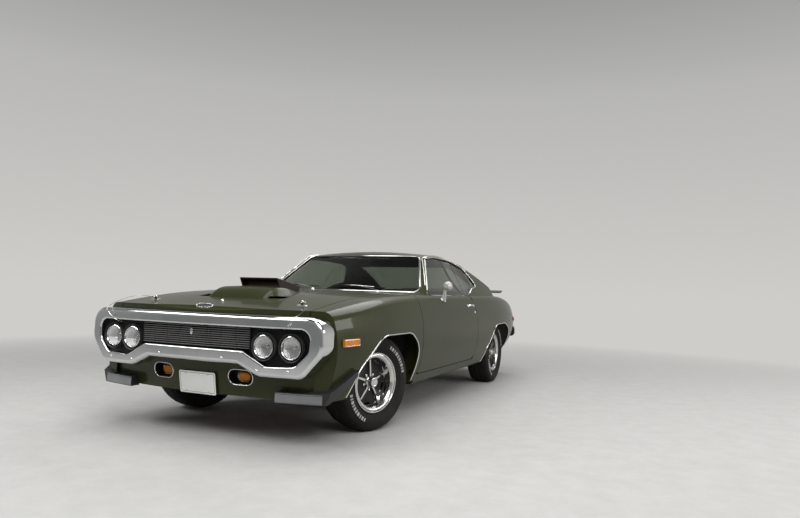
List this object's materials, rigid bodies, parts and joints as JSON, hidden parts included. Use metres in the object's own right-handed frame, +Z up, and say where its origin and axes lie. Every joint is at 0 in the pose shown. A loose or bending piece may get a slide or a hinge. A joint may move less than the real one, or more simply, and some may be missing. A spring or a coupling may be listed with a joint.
{
  "type": "two-door muscle car",
  "caption": "Early seventies two-door hardtop muscle car with a loop bumper, hood scoop, opening doors, hood and decklid, steering and rolling wheels.",
  "frame": {"origin": "on the floor, under the middle of the car's length and width", "axes": "nose along -Y, the car's left side along +X, +Z up"},
  "size_m": [2.0108, 5.1608, 1.3717],
  "materials": {
    "body_paint": "dark olive metallic",
    "black_metal": "satin black",
    "axle_iron": "bare",
    "bumper_chrome": "polished",
    "wheel_metal": "polished",
    "grille_black": "black",
    "lamp_glass": "clear",
    "amber_lens": "gloss",
    "red_lens": "gloss",
    "black_plastic": "matte",
    "tinted_glass": "tinted",
    "seat_vinyl": "black vinyl",
    "exhaust_steel": "satin",
    "tyre_rubber": "matte"
  },
  "bodies": {
    "root": {"roof": "body_paint", "fenders": "body_paint", "cowl_panel": "body_paint", "quarter_panels": "body_paint", "rear_deck_panel": "body_paint", "tail_panel": "body_paint", "rockers": "body_paint", "floor_pan": "black_metal", "front_structure": "black_metal", "radiator": "grille_black", "front_bumper": "bumper_chrome", "grille": "grille_black", "headlamps": "lamp_glass", "front_valance": "body_paint", "turn_lamps": "amber_lens", "chin_spoilers": "black_plastic", "windshield": "tinted_glass", "backlight": "tinted_glass", "quarter_glass": "tinted_glass", "dashboard": "black_plastic", "steering_wheel": "black_plastic", "front_seats": "seat_vinyl", "rear_seat": "seat_vinyl", "package_tray": "black_plastic", "engine": "axle_iron", "control_arms": "black_metal", "rear_axle": "axle_iron", "exhaust": "exhaust_steel", "fuel_tank": "black_metal", "rear_bumper": "bumper_chrome", "tail_lamps": "red_lens", "marker_lamps": "amber_lens"},
    "door_left": {"door_left": "body_paint", "door_glass_left": "tinted_glass", "mirror_left": "bumper_chrome"},
    "door_right": {"door_right": "body_paint", "door_glass_right": "tinted_glass", "mirror_right": "bumper_chrome"},
    "hood": {"hood": "body_paint"},
    "scoop": {"scoop_lid": "black_plastic"},
    "deck": {"decklid": "body_paint", "rear_wing": "body_paint"},
    "knuckle_left": {"knuckle_left": "black_metal"},
    "knuckle_right": {"knuckle_right": "black_metal"},
    "wheel_front_left": {"tyre_front_left": "tyre_rubber", "rim_front_left": "wheel_metal"},
    "wheel_front_right": {"tyre_front_right": "tyre_rubber", "rim_front_right": "wheel_metal"},
    "wheel_rear_left": {"tyre_rear_left": "tyre_rubber", "rim_rear_left": "wheel_metal"},
    "wheel_rear_right": {"tyre_rear_right": "tyre_rubber", "rim_rear_right": "wheel_metal"}
  },
  "joints": [
    {"name": "door_left_open", "type": "hinge", "parent": "root", "child": "door_left", "pos_m": [0.9785, -1.04, 0.62], "axis": [0, 0, -1], "range_deg": [0, 65]},
    {"name": "door_right_open", "type": "hinge", "parent": "root", "child": "door_right", "pos_m": [-0.9785, -1.04, 0.62], "axis": [0, 0, 1], "range_deg": [0, 65]},
    {"name": "hood_open", "type": "hinge", "parent": "root", "child": "hood", "pos_m": [0, -1.2255, 0.995], "axis": [-1, 0, 0], "range_deg": [0, 50]},
    {"name": "scoop_lift", "type": "hinge", "parent": "hood", "child": "scoop", "pos_m": [0, -1.612, 0.975], "axis": [1, 0, 0], "range_deg": [0, 12]},
    {"name": "deck_open", "type": "hinge", "parent": "root", "child": "deck", "pos_m": [0, 1.713, 0.99], "axis": [1, 0, 0], "range_deg": [0, 55]},
    {"name": "steer_left", "type": "hinge", "parent": "root", "child": "knuckle_left", "pos_m": [0.69, -1.61, 0.335], "axis": [0, 0, 1], "range_deg": [-16, 50]},
    {"name": "steer_right", "type": "hinge", "parent": "root", "child": "knuckle_right", "pos_m": [-0.69, -1.61, 0.335], "axis": [0, 0, 1], "range_deg": [-16, 50]},
    {"name": "spin_front_left", "type": "hinge", "parent": "knuckle_left", "child": "wheel_front_left", "pos_m": [0.76029, -1.63149, 0.335], "axis": [0.9563, -0.2924, 0], "continuous": true},
    {"name": "spin_front_right", "type": "hinge", "parent": "knuckle_right", "child": "wheel_front_right", "pos_m": [-0.76029, -1.58851, 0.335], "axis": [0.9563, -0.2924, 0], "continuous": true},
    {"name": "spin_rear_left", "type": "hinge", "parent": "root", "child": "wheel_rear_left", "pos_m": [0.7875, 1.311, 0.335], "axis": [1, 0, 0], "continuous": true},
    {"name": "spin_rear_right", "type": "hinge", "parent": "root", "child": "wheel_rear_right", "pos_m": [-0.7875, 1.311, 0.335], "axis": [1, 0, 0], "continuous": true}
  ],
  "couplings": [
    {"joint": "steer_right", "follows": "steer_left", "ratio": 1}
  ]
}
